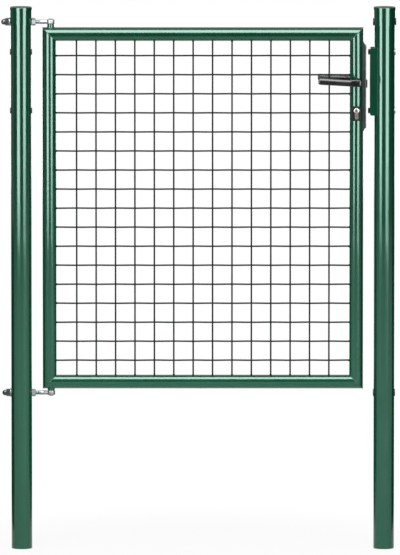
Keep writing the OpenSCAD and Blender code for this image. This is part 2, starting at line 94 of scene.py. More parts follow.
def shown_directly(tree):
    """1 for rays from the camera and for what metal and glass show, else 0."""
    path = add(tree, "ShaderNodeLightPath")
    seen = add(tree, "ShaderNodeMath",
               {0: path.outputs["Is Camera Ray"], 1: path.outputs["Is Glossy Ray"]},
               operation="MAXIMUM")
    return add(tree, "ShaderNodeMath", {0: seen.outputs[0], 1: path.outputs["Is Transmission Ray"]},
               operation="MAXIMUM").outputs[0]


world = bpy.data.worlds.new("white studio")
scene.world = world
world.use_nodes = True
world.node_tree.nodes.clear()
ambient = add(world.node_tree, "ShaderNodeBackground", {"Color": (1, 1, 1, 1), "Strength": 0.12})
backdrop = add(world.node_tree, "ShaderNodeBackground", {"Color": (1, 1, 1, 1), "Strength": 1.0})
sky = add(world.node_tree, "ShaderNodeMixShader",
          {0: shown_directly(world.node_tree), 1: ambient.outputs[0], 2: backdrop.outputs[0]})
add(world.node_tree, "ShaderNodeOutputWorld", {"Surface": sky.outputs[0]})

# The floor keeps a share of its real light near the gate, so that the shadow shows, and
# fades to plain white round it.
floor_radius, floor_sides = 60.0, 96
shadow_radius = 0.9
white_at_gate = 0.93
floor_gap = 0.0005
floor_white, tree, out = new_material("white floor paint")
lit = add(tree, "ShaderNodeBsdfDiffuse", {"Color": (0.82, 0.82, 0.82, 1)})
glow = add(tree, "ShaderNodeEmission", {"Color": (1, 1, 1, 1), "Strength": 1.0})
spot = add(tree, "ShaderNodeTexCoord")
reach = add(tree, "ShaderNodeVectorMath", {0: spot.outputs["Object"]}, operation="LENGTH")
faded = add(tree, "ShaderNodeMapRange",
            {0: reach.outputs["Value"], 1: shadow_radius * 0.5, 2: shadow_radius,
             3: white_at_gate, 4: 1.0})
share = add(tree, "ShaderNodeMath", {0: shown_directly(tree), 1: faded.outputs[0]},
            operation="MULTIPLY")
both = add(tree, "ShaderNodeMixShader", {0: share.outputs[0], 1: lit.outputs[0], 2: glow.outputs[0]})
tree.links.new(both.outputs[0], out.inputs["Surface"])


def stage_object(name, verts, faces, material):
    """A plain mesh of the studio, which isn't part of the gate."""
    mesh = bpy.data.meshes.new(name)
    mesh.from_pydata(verts, [], faces)
    mesh.materials.append(material)
    made = bpy.data.objects.new(name, mesh)
    scene.collection.objects.link(made)
    return made


ring = [(floor_radius * math.cos(a), floor_radius * math.sin(a), 0.0)
        for a in (math.tau * i / floor_sides for i in range(floor_sides))]
floor = stage_object("floor", ring, [tuple(range(floor_sides))], floor_white)
floor.location = ((low[0] + high[0]) / 2, 0, -floor_gap)

# The drapes stand round the gate from one side to the other, open only at the back. On the
# left they end in a grey scrim, which lifts that edge of each tube a little.
drape_radius = 6.5
drape_middle = 0.5
drape_low, drape_high = 0.2, 4.2
black = 0.006


def only_reflected(made):
    """Keeps a cloth or a board out of the picture and the light: only reflections show it."""
    for flag in ("visible_camera", "visible_diffuse", "visible_transmission", "visible_shadow"):
        setattr(made, flag, False)


def drape(name, colour, from_turn, to_turn):
    """A curved cloth round the gate. Turns are in degrees from straight in front, positive
    towards the latch post."""
    cloth, tree, out = new_material(name)
    dim = add(tree, "ShaderNodeEmission", {"Color": (1, 1, 1, 1), "Strength": colour})
    tree.links.new(dim.outputs[0], out.inputs["Surface"])
    steps = 32
    verts, faces = [], []
    for i in range(steps + 1):
        turn = math.radians(from_turn + (to_turn - from_turn) * i / steps)
        x, y = drape_radius * math.sin(turn), -drape_radius * math.cos(turn)
        verts += [(x + drape_middle, y, drape_low), (x + drape_middle, y, drape_high)]
        if i:
            faces.append((2 * i - 2, 2 * i, 2 * i + 1, 2 * i - 1))
    only_reflected(stage_object(name, verts, faces, cloth))


drape("black drape", black, -84, 152)
drape("grey scrim", 0.35, -128, -84)
drape("black drape behind", black, -158, -128)


def upright(y0, y1, x, z0, z1):
    """Corners of a board that stands along Y."""
    return ((x, y0, z0), (x, y1, z0), (x, y1, z1), (x, y0, z1))


def facing(x0, x1, y, z0, z1):
    """Corners of a board that stands along X."""
    return ((x0, y, z0), (x1, y, z0), (x1, y, z1), (x0, y, z1))


# Black boards. Flags at both sides darken the edges of the tubes, with low ones for the feet
# of the posts. Two behind give each cap its dark line. The sloped table in front ends the
# bright stripes half way down the posts.
boards = (
    ("low flag left", upright(-0.05, 3.0, -1.2, 0.0, 0.75)),
    ("flag right", upright(0.15, 3.0, 2.2, 0.0, 1.4)),
    ("foot flag left", upright(0.0, 1.2, -0.4, 0.0, 0.3)),
    ("foot flag middle", upright(0.15, 1.5, 0.5, 0.0, 0.36)),
    ("foot flag right", upright(0.0, 1.2, 1.4, 0.0, 0.3)),
    ("flag behind left cap", facing(-0.6, -0.02, 6.0, 1.7, 2.4)),
    ("flag behind right cap", facing(1.02, 1.6, 6.0, 1.7, 2.4)),
    ("sloped table", ((-4.0, -6.5, 0.2), (5.0, -6.5, 0.2), (5.0, -1.1, 0.75), (-4.0, -1.1, 0.75))))
for name, corners in boards:
    only_reflected(stage_object(name, corners, [(0, 1, 2, 3)], bpy.data.materials["black drape"]))


def softbox(name, place, aim, width, height, radiance, shown=True, lights=True):
    """A rectangular lamp at place that faces aim, evenly bright. Reflections leave it out
    unless it is shown, and it gives no plain light unless it lights."""
    lamp = bpy.data.lights.new(name, "AREA")
    lamp.shape = "RECTANGLE"
    lamp.size, lamp.size_y = width, height
    lamp.energy = radiance * math.pi * width * height
    made = bpy.data.objects.new(name, lamp)
    made.location = place
    made.rotation_euler = (Vector(aim) - Vector(place)).to_track_quat("-Z", "Y").to_euler()
    made.visible_camera = False
    made.visible_glossy, made.visible_diffuse = shown, lights
    scene.collection.objects.link(made)


softbox("key lamp", (-1.2, -4.4, 2.8), (0.4, 0.0, 0.8), 2.4, 2.4, 6.2, shown=False)
softbox("fill lamp", (2.2, -4.6, 2.2), (0.6, 0.0, 0.8), 2.4, 2.4, 3.8, shown=False)
softbox("low fill lamp", (0.5, -1.0, 0.22), (0.5, 0.0, 0.22), 1.7, 0.3, 6.8, shown=False)
softbox("strip lamp left", (-1.45, -2.65, 1.70), (0.0, 0.0, 1.70), 1.65, 2.2, 13.2, lights=False)
softbox("strip lamp right", (3.75, -4.55, 1.85), (1.0, 0.0, 1.85), 3.2, 3.0, 12.6, lights=False)
softbox("strip lamp overhead", (0.5, -1.45, 3.45), (0.5, 0.0, 1.4), 3.6, 2.0, 12.6, lights=False)
softbox("strip lamp back left", (-1.3, 4.6, 1.8), (0.2, 0.0, 1.0), 1.0, 2.6, 5.0)
softbox("strip lamp back right", (2.3, 4.6, 1.8), (0.8, 0.0, 1.0), 1.0, 2.6, 5.0)

# The camera stands well back with a long lens, a little above the top of the gate.
lens = bpy.data.cameras.new("camera")
lens.sensor_width = 36
lens.lens = 591.4
lens.shift_x = -0.005
lens.shift_y = -0.12
lens.clip_end = 500
camera = bpy.data.objects.new("camera", lens)
camera.location = (0.5, -25.0, 3.414)
camera.rotation_euler = (math.radians(90 - 5.66), 0, 0)
scene.collection.objects.link(camera)
scene.camera = camera
scene.view_settings.view_transform = "Standard"

# ---- Posts and caps ----
# Round steel tube and pressed steel caps, galvanised and powder coated in moss green.
# The coat is baked on: glossy, a little uneven like orange peel, with softly rounded edges.


def linear(hex_colour):
    """An sRGB colour written as #RRGGBB, as the linear values that a shader takes."""
    parts = [int(hex_colour[i : i + 2], 16) / 255 for i in (1, 3, 5)]
    return [p / 12.92 if p <= 0.04045 else ((p + 0.055) / 1.055) ** 2.4 for p in parts] + [1.0]


def powder_coat(name, colour, light_colour, roughness):
    """Polyester powder coat on steel. The eye sees a clear, bright reflection with a
    slightly wavy edge, over a deep colour that varies a little where the coat is thicker."""
    material, tree, out = new_material(name)
    place = add(tree, "ShaderNodeTexCoord").outputs["Object"]
    # Counted to a metre: the shade changes over 110 mm. The peel's waves are 4 mm wide, about
    # twice the real ones, which are too fine to show.
    patches, waves = 9.0, 240.0
    thickness = add(tree, "ShaderNodeTexNoise", {"Vector": place, "Scale": patches, "Detail": 3.0})
    shade = add(tree, "ShaderNodeMix",
                {0: thickness.outputs["Fac"], 6: linear(colour), 7: linear(light_colour)},
                data_type="RGBA")
    peel = add(tree, "ShaderNodeTexNoise", {"Vector": place, "Scale": waves, "Detail": 1.0})
    gloss = add(tree, "ShaderNodeMapRange",
                {0: thickness.outputs["Fac"], 1: 0.3, 2: 0.7, 3: roughness * 0.85, 4: roughness * 1.2})
    wavy = add(tree, "ShaderNodeBump",
               {"Height": peel.outputs["Fac"], "Strength": 0.07, "Distance": 0.0002})
    coat = add(tree, "ShaderNodeBsdfPrincipled", {
        "Base Color": shade.outputs[2], "Roughness": gloss.outputs[0], "Normal": wavy.outputs[0],
        "IOR": 1.5, "Specular IOR Level": 0.65, "Specular Tint": linear("#D8FFF1")})
    tree.links.new(coat.outputs[0], out.inputs["Surface"])
    return material


def paint(node, material):
    """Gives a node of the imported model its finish."""
    for slot in cad[node].material_slots:
        slot.link = "OBJECT"
        slot.material = material


green_coat = powder_coat("moss green powder coat on steel", "#073D29", "#094330", 0.15)
for node in ("post_hinge", "post_latch", "cap_hinge", "cap_latch"):
    paint(node, green_coat)

# ---- Hole plugs ----
# Push-in plugs of moulded black polyamide, with a rounded head and a stem through the wall
# of the tube. They close the cross holes that this hand of gate leaves free.


def moulded_plastic(name, colour, roughness, grain_mm, level):
    """Polyamide from an eroded mould: an even black with a fine grain that breaks up the
    reflection, which level makes weaker or stronger."""
    material, tree, out = new_material(name)
    place = add(tree, "ShaderNodeTexCoord").outputs["Object"]
    # The real grain is about 0.1 mm, too fine to show. Patches rubbed smoother are 33 mm wide.
    patches = 30.0
    grain = add(tree, "ShaderNodeTexNoise",
                {"Vector": place, "Scale": 1000 / grain_mm, "Detail": 2.0})
    worn = add(tree, "ShaderNodeTexNoise", {"Vector": place, "Scale": patches, "Detail": 3.0})
    dull = add(tree, "ShaderNodeMapRange",
               {0: worn.outputs["Fac"], 1: 0.3, 2: 0.7, 3: roughness * 0.85, 4: roughness * 1.15})
    rough = add(tree, "ShaderNodeBump",
                {"Height": grain.outputs["Fac"], "Strength": 0.25, "Distance": 0.0001})
    skin = add(tree, "ShaderNodeBsdfPrincipled", {
        "Base Color": linear(colour), "Roughness": dull.outputs[0], "Normal": rough.outputs[0],
        "IOR": 1.53, "Specular IOR Level": level})
    tree.links.new(skin.outputs[0], out.inputs["Surface"])
    return material


black_polyamide = moulded_plastic("black polyamide, fine moulded grain", "#0B0C0D", 0.36, 0.9, 0.22)
for node in ("plugs_hinge_post", "plugs_latch_post"):
    paint(node, black_polyamide)

# ---- Leaf frame ----
# Four lengths of 38 mm tube, cut at 45 degrees and welded round each corner. The welds are
# brushed down and lie under the coat as a low, rippled seam.
for node in ("stile_hinge", "stile_lock", "rail_top", "rail_bottom",
             "hinge_pin_top", "hinge_pin_bottom"):
    paint(node, green_coat)


def new_tree(name, inputs):
    """A Geometry Nodes tree with named inputs, and its two ends."""
    tree = bpy.data.node_groups.new(name, "GeometryNodeTree")
    for key, kind in inputs:
        tree.interface.new_socket(key, in_out="INPUT", socket_type=kind)
    tree.interface.new_socket("Geometry", in_out="OUTPUT", socket_type="NodeSocketGeometry")
    return tree, tree.nodes.new("NodeGroupInput").outputs, tree.nodes.new("NodeGroupOutput").inputs


def grown(name, tree, values, start=None):
    """Runs a tree on a start mesh with the given inputs, and returns the plain mesh it makes."""
    seed = bpy.data.objects.new(name + " seed", start or bpy.data.meshes.new(name + " seed"))
    scene.collection.objects.link(seed)
    modifier = seed.modifiers.new("tree", "NODES")
    modifier.node_group = tree
    sockets = {s.name: s.identifier for s in tree.interface.items_tree if s.in_out == "INPUT"}
    for key, value in values.items():
        modifier[sockets[key]] = value
    bpy.context.view_layer.update()
    evaluated = seed.evaluated_get(bpy.context.evaluated_depsgraph_get())
    made = bpy.data.meshes.new_from_object(evaluated)
    bpy.data.objects.remove(seed)
    made.name = name
    return made


def bead_tree():
    """A weld bead along each edge loop of the start mesh: overlapping drops, each a little
    longer than its step and lying along the seam."""
    tree, given, result = new_tree("weld beads", (
        ("Geometry", "NodeSocketGeometry"), ("Step", "NodeSocketFloat"), ("Width", "NodeSocketFloat"),
        ("Coat", "NodeSocketMaterial")))
    seam = add(tree, "GeometryNodeMeshToCurve", {"Mesh": given["Geometry"]})
    steps = add(tree, "GeometryNodeResampleCurve", {"Curve": seam.outputs[0], "Length": given["Step"]},
                mode="LENGTH")
    along = add(tree, "FunctionNodeAlignRotationToVector",
                {"Vector": add(tree, "GeometryNodeInputTangent").outputs[0]}, axis="X")
    half = add(tree, "ShaderNodeMath", {0: given["Width"], 1: 0.5}, operation="MULTIPLY")
    drop = add(tree, "GeometryNodeMeshIcoSphere", {"Radius": half.outputs[0], "Subdivisions": 2})
    size = add(tree, "FunctionNodeRandomValue",
               {"Min": (1.0, 0.85, 0.85), "Max": (1.3, 1.1, 1.1), "Seed": 7},
               data_type="FLOAT_VECTOR")
    laid = add(tree, "GeometryNodeInstanceOnPoints", {
        "Points": steps.outputs[0], "Instance": drop.outputs[0], "Rotation": along.outputs[0],
        "Scale": size.outputs[0]})
    real = add(tree, "GeometryNodeRealizeInstances", {0: laid.outputs[0]})
    smooth = add(tree, "GeometryNodeSetShadeSmooth", {0: real.outputs[0]})
    coated = add(tree, "GeometryNodeSetMaterial",
                 {"Geometry": smooth.outputs[0], "Material": given["Coat"]})
    tree.links.new(coated.outputs[0], result["Geometry"])
    return tree


def joined(name, meshes):
    """One mesh out of several."""
    work = bmesh.new()
    for mesh in meshes:
        work.from_mesh(mesh)
    made = bpy.data.meshes.new(name)
    work.to_mesh(made)
    work.free()
    return made


def piece(name, mesh, material, body, stands_for=()):
    """Adds a finished mesh to the gate, on the body that it moves with."""
    if not mesh.materials:
        mesh.materials.append(material)
    mesh.materials[0] = material
    made = bpy.data.objects.new(name, mesh)
    scene.collection.objects.link(made)
    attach(made, body)
    if stands_for:
        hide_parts(*stands_for)
    return made


def seam_loops(name, loops):
    """Closed rings of edges, as the start of a row of weld beads."""
    verts, edges = [], []
    for loop in loops:
        first = len(verts)
        verts += loop
        edges += [(first + i, first + (i + 1) % len(loop)) for i in range(len(loop))]
    mesh = bpy.data.meshes.new(name)
    mesh.from_pydata(verts, edges, [])
    return mesh


rail_low, rail_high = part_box("rail_bottom"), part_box("rail_top")
stile_left, stile_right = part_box("stile_hinge"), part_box("stile_lock")
tube = stile_left[1][0] - stile_left[0][0]
tube_r = tube / 2
axis_left, axis_right = stile_left[0][0] + tube_r, stile_right[1][0] - tube_r
axis_low, axis_high = rail_low[0][2] + tube_r, rail_high[1][2] - tube_r
bead_width, bead_step, bead_sunk = 0.0026, 0.0013, 0.0007
seam_r = tube_r - bead_sunk
seam_points = 120
turns = [math.tau * i / seam_points for i in range(seam_points)]
seams = [[(cx + out_x * seam_r * math.cos(t), seam_r * math.sin(t), cz + out_z * seam_r * math.cos(t))
          for t in turns]
         for cx, out_x in ((axis_left, -1), (axis_right, 1))
         for cz, out_z in ((axis_low, -1), (axis_high, 1))]
# The two hinge collars are welded all round where they sit on the rails.
collar_low, collar_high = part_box("hinge_pin_top")
pin_x = (collar_low[0] + collar_high[0]) / 2
collar_r = (collar_high[0] - collar_low[0]) / 2
seams += [[(pin_x + collar_r * math.cos(t), collar_r * math.sin(t),
            cz + up * math.sqrt(tube_r**2 - (collar_r * math.sin(t)) ** 2)) for t in turns]
          for cz, up in ((axis_low, -1), (axis_high, 1))]
beads = bead_tree()
weld_seams = grown("frame welds", beads,
                   {"Step": bead_step, "Width": bead_width, "Coat": green_coat},
                   seam_loops("frame seams", seams))
piece("frame_welds", weld_seams, green_coat, "leaf")

# ---- Wave mesh ----
# Round wire, crimped like a wave so that each wire passes over one and under the next,
# locked where they cross, tacked into the frame at each end and dipped in a dull dark green.
mesh_middle = Vector(((axis_left + axis_right) / 2, 0, (axis_low + axis_high) / 2))
inner_width = axis_right - axis_left - tube
inner_height = axis_high - axis_low - tube
wire, wire_sides = 0.0045, 8
pitch_x, pitch_z = 0.0535, 0.0527
margin = 0.036  # the least space left between the frame and the first wire
columns = math.floor((inner_width - 2 * margin) / pitch_x) + 1
rows = math.floor((inner_height - 2 * margin) / pitch_z) + 1


def dipped_coat(name, colour, light_colour, roughness):
    """A sintered plastic coat on wire. The eye sees a dull, nearly black green that hardly
    shines, with a soft grain drawn three times as coarse as the real one, so that it shows."""
    material, tree, out = new_material(name)
    place = add(tree, "ShaderNodeTexCoord").outputs["Object"]
    grains = 900.0  # to a metre, so 1.1 mm wide
    grain = add(tree, "ShaderNodeTexNoise", {"Vector": place, "Scale": grains, "Detail": 2.0})
    shade = add(tree, "ShaderNodeMix",
                {0: grain.outputs["Fac"], 6: linear(colour), 7: linear(light_colour)},
                data_type="RGBA")
    dull = add(tree, "ShaderNodeMapRange",
               {0: grain.outputs["Fac"], 1: 0.3, 2: 0.7, 3: roughness * 0.9, 4: roughness * 1.1})
    rough = add(tree, "ShaderNodeBump",
                {"Height": grain.outputs["Fac"], "Strength": 0.15, "Distance": 0.0002})
    skin = add(tree, "ShaderNodeBsdfPrincipled", {
        "Base Color": shade.outputs[2], "Roughness": dull.outputs[0], "Normal": rough.outputs[0],
        "IOR": 1.49, "Specular IOR Level": 0.08})
    tree.links.new(skin.outputs[0], out.inputs["Surface"])
    return material


wire_coat = dipped_coat("dull dark green sintered coat on wire", "#0B120F", "#111C17", 0.55)


def wire_tree():
    """A row of parallel waved wires along Z, spread along X, each half a wave from the last."""
    tree, given, result = new_tree("crimped wires", (
        ("Wires", "NodeSocketInt"), ("Wire pitch", "NodeSocketFloat"),
        ("Crossings", "NodeSocketInt"), ("Crossing pitch", "NodeSocketFloat"),
        ("Length", "NodeSocketFloat"), ("Diameter", "NodeSocketFloat"),
        ("Swing", "NodeSocketFloat"), ("Coat", "NodeSocketMaterial")))
    half = add(tree, "ShaderNodeMath", {0: given["Length"], 1: 0.5}, operation="MULTIPLY")
    minus = add(tree, "ShaderNodeMath", {0: half.outputs[0], 1: -1.0}, operation="MULTIPLY")
    bottom = add(tree, "ShaderNodeCombineXYZ", {"Z": minus.outputs[0]})
    top = add(tree, "ShaderNodeCombineXYZ", {"Z": half.outputs[0]})
    line = add(tree, "GeometryNodeCurvePrimitiveLine",
               {"Start": bottom.outputs[0], "End": top.outputs[0]})
    # Seven points to a crossing, and twelve more for the two ends.
    points = add(tree, "ShaderNodeMath", {0: given["Crossings"], 1: 7.0, 2: 12.0},
                 operation="MULTIPLY_ADD")
    fine = add(tree, "GeometryNodeResampleCurve",
               {"Curve": line.outputs[0], "Count": points.outputs[0]})
    # The wave's angle at height z is pi * (z / crossing pitch + (crossings - 1) / 2).
    where = add(tree, "ShaderNodeSeparateXYZ", {0: add(tree, "GeometryNodeInputPosition").outputs[0]})
    pitches = add(tree, "ShaderNodeMath", {0: where.outputs["Z"], 1: given["Crossing pitch"]},
                  operation="DIVIDE")
    gaps = add(tree, "ShaderNodeMath", {0: given["Crossings"], 1: 0.5, 2: -0.5},
               operation="MULTIPLY_ADD")
    phase = add(tree, "ShaderNodeMath", {0: pitches.outputs[0], 1: gaps.outputs[0]},
                operation="ADD")
    angle = add(tree, "ShaderNodeMath", {0: phase.outputs[0], 1: math.pi}, operation="MULTIPLY")
    wave = add(tree, "ShaderNodeMath", {0: angle.outputs[0]}, operation="COSINE")
    aside = add(tree, "ShaderNodeMath", {0: wave.outputs[0], 1: given["Swing"]}, operation="MULTIPLY")
    offset = add(tree, "ShaderNodeCombineXYZ", {"Y": aside.outputs[0]})
    waved = add(tree, "GeometryNodeSetPosition",
                {"Geometry": fine.outputs[0], "Offset": offset.outputs[0]})
    radius = add(tree, "ShaderNodeMath", {0: given["Diameter"], 1: 0.5}, operation="MULTIPLY")
    section = add(tree, "GeometryNodeCurvePrimitiveCircle",
                  {"Resolution": wire_sides, "Radius": radius.outputs[0]})
    swept = add(tree, "GeometryNodeCurveToMesh",
                {"Curve": waved.outputs[0], "Profile Curve": section.outputs[0], "Fill Caps": True})
    # Places of the wires, and half a turn about its own axis for every second one.
    span = add(tree, "ShaderNodeMath", {0: given["Wires"], 1: -0.5, 2: 0.5},
               operation="MULTIPLY_ADD")
    first = add(tree, "ShaderNodeMath", {0: span.outputs[0], 1: given["Wire pitch"]},
                operation="MULTIPLY")
    start = add(tree, "ShaderNodeCombineXYZ", {"X": first.outputs[0]})
    step = add(tree, "ShaderNodeCombineXYZ", {"X": given["Wire pitch"]})
    row = add(tree, "GeometryNodeMeshLine",
              {"Count": given["Wires"], "Start Location": start.outputs[0], "Offset": step.outputs[0]})
    odd = add(tree, "ShaderNodeMath",
              {0: add(tree, "GeometryNodeInputIndex").outputs[0], 1: 2.0}, operation="MODULO")
    half_turn = add(tree, "ShaderNodeMath", {0: odd.outputs[0], 1: math.pi}, operation="MULTIPLY")
    twist = add(tree, "ShaderNodeCombineXYZ", {"Z": half_turn.outputs[0]})
    placed = add(tree, "GeometryNodeInstanceOnPoints",
                 {"Points": row.outputs[0], "Instance": swept.outputs[0], "Rotation": twist.outputs[0]})
    real = add(tree, "GeometryNodeRealizeInstances", {0: placed.outputs[0]})
    smooth = add(tree, "GeometryNodeSetShadeSmooth", {0: real.outputs[0]})
    coated = add(tree, "GeometryNodeSetMaterial",
                 {"Geometry": smooth.outputs[0], "Material": given["Coat"]})
    tree.links.new(coated.outputs[0], result["Geometry"])
    return tree


wires = wire_tree()
crossing_weld = 0.0003  # how deep crossing wires are pressed and welded together
swing = (wire - crossing_weld) / 2
reach_in = 0.0006  # how much longer than the opening a wire is in all
uprights = grown("upright wires", wires, {
    "Wires": columns, "Wire pitch": pitch_x, "Crossings": rows, "Crossing pitch": pitch_z,
    "Length": inner_height + reach_in, "Diameter": wire, "Swing": swing, "Coat": wire_coat})
levels = grown("level wires", wires, {
    "Wires": rows, "Wire pitch": pitch_z, "Crossings": columns, "Crossing pitch": pitch_x,
    "Length": inner_width + reach_in, "Diameter": wire, "Swing": -swing, "Coat": wire_coat})
levels.transform(Matrix.Rotation(math.radians(-90), 4, "Y"))
wave_mesh = joined("wave_mesh", (uprights, levels))
wave_mesh.transform(Matrix.Translation(mesh_middle))
wave_mesh.shade_smooth()
piece("wave_mesh", wave_mesh, wire_coat, "leaf", ["wire_mesh"])


def tack_tree():
    """A flattened drop of weld at each point of the start mesh."""
    tree, given, result = new_tree("tack welds", (
        ("Geometry", "NodeSocketGeometry"), ("Width", "NodeSocketFloat"),
        ("Coat", "NodeSocketMaterial")))
    points = add(tree, "GeometryNodeMeshToPoints", {"Mesh": given["Geometry"]})
    half = add(tree, "ShaderNodeMath", {0: given["Width"], 1: 0.5}, operation="MULTIPLY")
    drop = add(tree, "GeometryNodeMeshIcoSphere", {"Radius": half.outputs[0], "Subdivisions": 2})
    size = add(tree, "FunctionNodeRandomValue",
               {"Min": (0.85, 0.75, 0.85), "Max": (1.15, 0.95, 1.15), "Seed": 3},
               data_type="FLOAT_VECTOR")
    laid = add(tree, "GeometryNodeInstanceOnPoints",
               {"Points": points.outputs[0], "Instance": drop.outputs[0], "Scale": size.outputs[0]})
    real = add(tree, "GeometryNodeRealizeInstances", {0: laid.outputs[0]})
    smooth = add(tree, "GeometryNodeSetShadeSmooth", {0: real.outputs[0]})
    coated = add(tree, "GeometryNodeSetMaterial",
                 {"Geometry": smooth.outputs[0], "Material": given["Coat"]})
    tree.links.new(coated.outputs[0], result["Geometry"])
    return tree


def end_swing(half_length, crossings, pitch, index):
    """How far to the back a wire's end lies: every second wire is turned half round."""
    angle = math.pi * (half_length / pitch + (crossings - 1) / 2)
    return swing * math.cos(angle) * (1 if index % 2 == 0 else -1)


ends = []
for i in range(columns):
    across = mesh_middle.x + (i - (columns - 1) / 2) * pitch_x
    aside = end_swing(inner_height / 2, rows, pitch_z, i)
    ends += [(across, aside, mesh_middle.z + side * inner_height / 2) for side in (-1, 1)]
for i in range(rows):
    level = mesh_middle.z + (i - (rows - 1) / 2) * pitch_z
    aside = -end_swing(inner_width / 2, columns, pitch_x, i)
    ends += [(mesh_middle.x + side * inner_width / 2, aside, level) for side in (-1, 1)]
tack_points = bpy.data.meshes.new("wire ends")
tack_points.from_pydata(ends, [], [])
tack_width = 0.0062
tacks = grown("wire tacks", tack_tree(), {"Width": tack_width, "Coat": wire_coat}, tack_points)
piece("wire_tacks", tacks, wire_coat, "leaf")

# ---- Hinges ----
# Forged M12 eye bolts through the hinge post, with a closed nut and a washer outside and a
# nut inside, all zinc plated. The pins on the leaf turn in the eyes.


def plated_steel(name, colour, tint, roughness):
    """Zinc plate on steel. The eye sees a clear grey metal, clouded a little by the bath."""
    material, tree, out = new_material(name)
    place = add(tree, "ShaderNodeTexCoord").outputs["Object"]
    clouds = 60.0  # to a metre, so 17 mm wide
    cloud = add(tree, "ShaderNodeTexNoise", {"Vector": place, "Scale": clouds, "Detail": 3.0})
    shade = add(tree, "ShaderNodeMix",
                {0: cloud.outputs["Fac"], 6: linear(colour), 7: linear(tint)},
                data_type="RGBA")
    dull = add(tree, "ShaderNodeMapRange",
               {0: cloud.outputs["Fac"], 1: 0.3, 2: 0.7, 3: roughness * 0.9, 4: roughness * 1.15})
    metal = add(tree, "ShaderNodeBsdfPrincipled", {
        "Base Color": shade.outputs[2], "Roughness": dull.outputs[0], "Metallic": 1.0})
    tree.links.new(metal.outputs[0], out.inputs["Surface"])
    return material


def softened(node, width, corner=35.0):
    """A copy of a node's mesh with flat faces joined and its sharp edges rounded, as pressing,
    forging and coating leave them."""
    mesh = cad[node].data.copy()
    mesh.name = node + " softened"
    mesh.materials.clear()
    work = bmesh.new()
    work.from_mesh(mesh)
    bmesh.ops.remove_doubles(work, verts=work.verts, dist=1e-6)
    bmesh.ops.dissolve_limit(work, angle_limit=math.radians(0.6),
                             verts=work.verts, edges=work.edges)
    sharp = [e for e in work.edges if e.calc_face_angle(0.0) > math.radians(corner)]
    bmesh.ops.bevel(work, geom=sharp, offset=width, offset_type="OFFSET", segments=2, profile=0.5,
                    affect="EDGES", clamp_overlap=True)
    work.to_mesh(mesh)
    work.free()
    mesh.shade_smooth()
    mesh.set_sharp_from_angle(angle=math.radians(corner))
    held = bpy.data.objects.new(node + " seed", mesh)
    scene.collection.objects.link(held)
    flat = held.modifiers.new("flat faces stay flat", "WEIGHTED_NORMAL")
    flat.keep_sharp = True
    flat.weight = 100
    bpy.context.view_layer.update()
    evaluated = held.evaluated_get(bpy.context.evaluated_depsgraph_get())
    finished = bpy.data.meshes.new_from_object(evaluated)
    bpy.data.objects.remove(held)
    return finished


zinc = plated_steel("zinc plate on forged steel", "#868A8C", "#7B7F7E", 0.42)
# The closed nuts take a darker copy of the zinc: painted shade, standing in for the dark surroundings
# that their domes reflect.
shaded_zinc = plated_steel("zinc plate on turned steel, darkened as painted shade", "#4A4D4F", "#404343", 0.28)
for node in cad:
    if node.startswith("cap_nut"):
        piece(node + "_turned", softened(node, 0.0005), shaded_zinc, "posts", [node])
    if node.startswith(("washer", "hinge_nut")):
        piece(node + "_soft", softened(node, 0.0005), zinc, "posts", [node])


def thread_tree():
    """The outside of a thread along X: a grid rolled into a tube whose radius rises and falls
    once a pitch, and whose ridge climbs one pitch a turn."""
    tree, given, result = new_tree("screw thread", (
        ("Length", "NodeSocketFloat"), ("Pitch", "NodeSocketFloat"),
        ("Crest radius", "NodeSocketFloat"), ("Root radius", "NodeSocketFloat"),
        ("Rows", "NodeSocketInt"), ("Metal", "NodeSocketMaterial")))
    grid = add(tree, "GeometryNodeMeshGrid",
               {"Size X": given["Length"], "Size Y": 1.0, "Vertices X": given["Rows"],
                "Vertices Y": 25})
    at = add(tree, "ShaderNodeSeparateXYZ", {0: add(tree, "GeometryNodeInputPosition").outputs[0]})
    turned = add(tree, "ShaderNodeMath", {0: at.outputs["X"], 1: given["Pitch"]}, operation="DIVIDE")
    climb = add(tree, "ShaderNodeMath", {0: turned.outputs[0], 1: at.outputs["Y"]},
                operation="SUBTRACT")
    fine = add(tree, "ShaderNodeMath", {0: climb.outputs[0], 1: 0.5}, operation="PINGPONG")
    rise = add(tree, "ShaderNodeMapRange",
               {0: fine.outputs[0], 1: 0.1, 2: 0.4, 3: given["Root radius"],
                4: given["Crest radius"]})
    angle = add(tree, "ShaderNodeMath", {0: at.outputs["Y"], 1: math.tau}, operation="MULTIPLY")
    up = add(tree, "ShaderNodeMath", {0: angle.outputs[0]}, operation="COSINE")
    side = add(tree, "ShaderNodeMath", {0: angle.outputs[0]}, operation="SINE")
    z = add(tree, "ShaderNodeMath", {0: up.outputs[0], 1: rise.outputs[0]}, operation="MULTIPLY")
    y = add(tree, "ShaderNodeMath", {0: side.outputs[0], 1: rise.outputs[0]}, operation="MULTIPLY")
    spot = add(tree, "ShaderNodeCombineXYZ",
               {"X": at.outputs["X"], "Y": y.outputs[0], "Z": z.outputs[0]})
    rolled = add(tree, "GeometryNodeSetPosition",
                 {"Geometry": grid.outputs["Mesh"], "Position": spot.outputs[0]})
    closed = add(tree, "GeometryNodeMergeByDistance",
                 {"Geometry": rolled.outputs[0], "Distance": 1e-6})
    smooth = add(tree, "GeometryNodeSetShadeSmooth", {0: closed.outputs[0]})
    coated = add(tree, "GeometryNodeSetMaterial",
                 {"Geometry": smooth.outputs[0], "Material": given["Metal"]})
    tree.links.new(coated.outputs[0], result["Geometry"])
    return tree


def closed_up(mesh):
    """Fills the open ends of a mesh and turns its faces outwards."""
    work = bmesh.new()
    work.from_mesh(mesh)
    bmesh.ops.holes_fill(work, edges=[e for e in work.edges if e.is_boundary], sides=0)
    bmesh.ops.recalc_face_normals(work, faces=work.faces)
    work.to_mesh(mesh)
    work.free()
    return mesh


